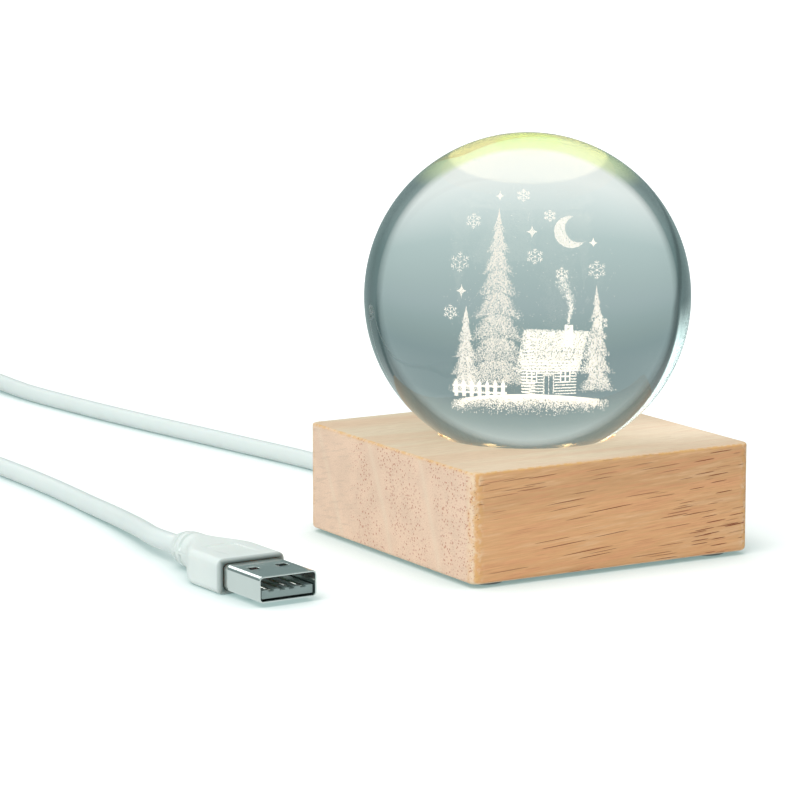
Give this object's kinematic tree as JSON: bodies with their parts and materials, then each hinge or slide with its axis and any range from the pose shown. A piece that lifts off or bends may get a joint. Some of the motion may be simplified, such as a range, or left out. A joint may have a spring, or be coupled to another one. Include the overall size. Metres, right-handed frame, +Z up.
{
  "type": "crystal ball lamp",
  "caption": "Solid glass ball on a square light-wood base, lit from below through a frosted window and fed by a white lead with a USB-A plug.",
  "frame": {"origin": "on the floor under the centre of the wooden base", "axes": "+Z up, +Y towards the side where the lead comes out, +X to the right with the plug on the left, at -X"},
  "size_m": [0.1105, 0.3073, 0.0838],
  "materials": {
    "light_wood": "sanded, unvarnished pale wood with fine red-brown pores, grain along X",
    "crystal": "polished clear glass with a white engraving of fine dots inside",
    "frosted_window": "frosted translucent plastic, lit warm white from below",
    "white_plastic": "moulded white plastic, fine matt",
    "circuit_board": "white solder mask on a glass fibre board",
    "led": "yellow phosphor gel in a small white chip",
    "chip": "black chip body",
    "screw_steel": "zinc-plated steel",
    "pad_rubber": "soft translucent grey rubber",
    "cord_jacket": "smooth white lead jacket, satin",
    "tie": "white tie",
    "wire_red": "red insulation",
    "wire_black": "black insulation",
    "plug_moulding": "white moulded plug body, satin",
    "plug_shell": "bright nickel-plated sheet, finely brushed",
    "plug_tongue": "grey moulded insulator",
    "plug_contact": "plated contacts"
  },
  "bodies": {
    "base": {"wood_base": "light_wood", "light_window": "frosted_window", "led_holder": "white_plastic", "led_board": "circuit_board", "led_1": "led", "led_2": "led", "led_3": "led", "led_4": "led", "led_5": "led", "led_6": "led", "resistor_1": "chip", "resistor_2": "chip", "holder_screw_1": "screw_steel", "holder_screw_2": "screw_steel", "holder_screw_3": "screw_steel", "cover_screw_1": "screw_steel", "cover_screw_2": "screw_steel", "cover_screw_3": "screw_steel", "cover_screw_4": "screw_steel", "bottom_cover": "white_plastic", "foot_pad_1": "pad_rubber", "foot_pad_2": "pad_rubber", "foot_pad_3": "pad_rubber", "foot_pad_4": "pad_rubber", "cord_inner": "cord_jacket", "strain_tie": "tie", "wire_red": "wire_red", "wire_black": "wire_black", "cord_lead": "cord_jacket", "cord_coil": "cord_jacket", "cord_tail": "cord_jacket", "coil_tie_1": "tie", "coil_tie_2": "tie", "plug_housing": "plug_moulding", "plug_shell": "plug_shell", "plug_tongue": "plug_tongue", "plug_contact_1": "plug_contact", "plug_contact_2": "plug_contact", "plug_contact_3": "plug_contact", "plug_contact_4": "plug_contact"},
    "ball": {"crystal_ball": "crystal"}
  },
  "joints": [
    {"name": "ball_lift", "type": "slide", "parent": "base", "child": "ball", "axis": [0, 0, 1], "range_m": [0, 0.05]}
  ]
}
